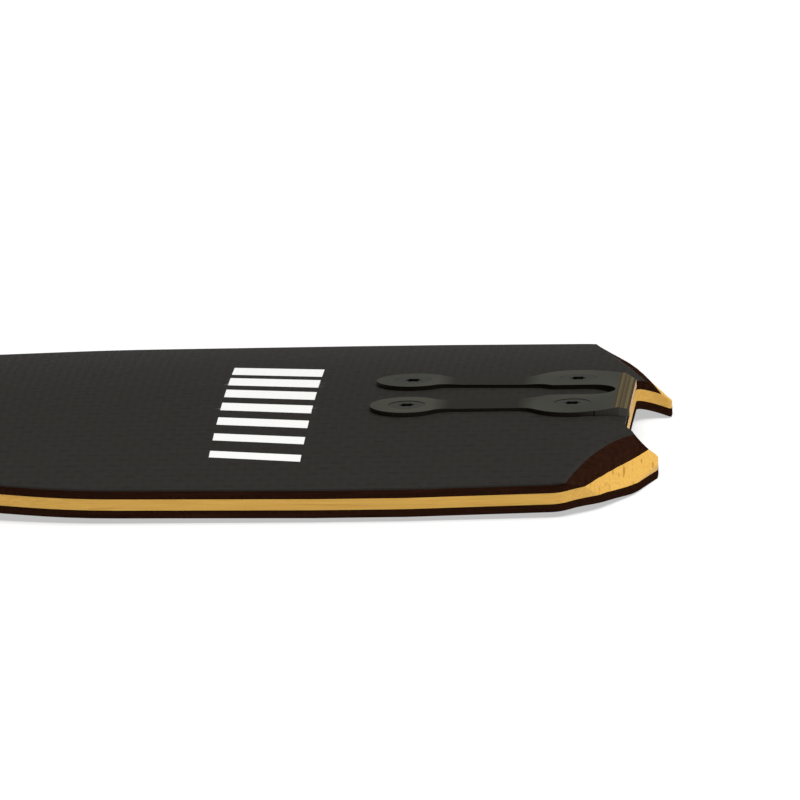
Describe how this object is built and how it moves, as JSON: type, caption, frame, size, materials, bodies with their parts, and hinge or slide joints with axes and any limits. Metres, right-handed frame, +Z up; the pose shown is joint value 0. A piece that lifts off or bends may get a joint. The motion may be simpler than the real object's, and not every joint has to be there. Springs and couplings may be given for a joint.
{
  "type": "wooden board deck with end brackets",
  "caption": "Long laminated wooden deck with a domed textured top, bent-down swallow-tail ends with bevelled horns, and a forked metal bracket screwed on at each end.",
  "frame": {"origin": "under the middle of the deck, on the plane its four horn tips stand on", "axes": "+X along the length towards the tail, +Y across the deck, +Z up from the textured face"},
  "size_m": [0.72, 0.2378, 0.0191],
  "materials": {
    "textured_skin": "fine woven texture, satin",
    "dark_veneer": "dark stained edge, oiled",
    "light_core": "pale yellow wood, sanded and oiled",
    "grip_foam": "matt foam sheet",
    "bracket_metal": "dark grey satin metal",
    "screw_black": "dark finish",
    "insert_steel": "zinc plated"
  },
  "bodies": {
    "root": {"top_skin": "textured_skin", "upper_face_ply": "dark_veneer", "upper_cross_ply": "dark_veneer", "core_upper_ply": "light_core", "core_middle_ply": "light_core", "core_lower_ply": "light_core", "lower_cross_ply": "dark_veneer", "lower_face_ply": "dark_veneer", "grip_sheet": "grip_foam", "tail_bracket": "bracket_metal", "nose_bracket": "bracket_metal", "tail_screws": "screw_black", "nose_screws": "screw_black", "tail_inserts": "insert_steel", "nose_inserts": "insert_steel"}
  },
  "joints": []
}
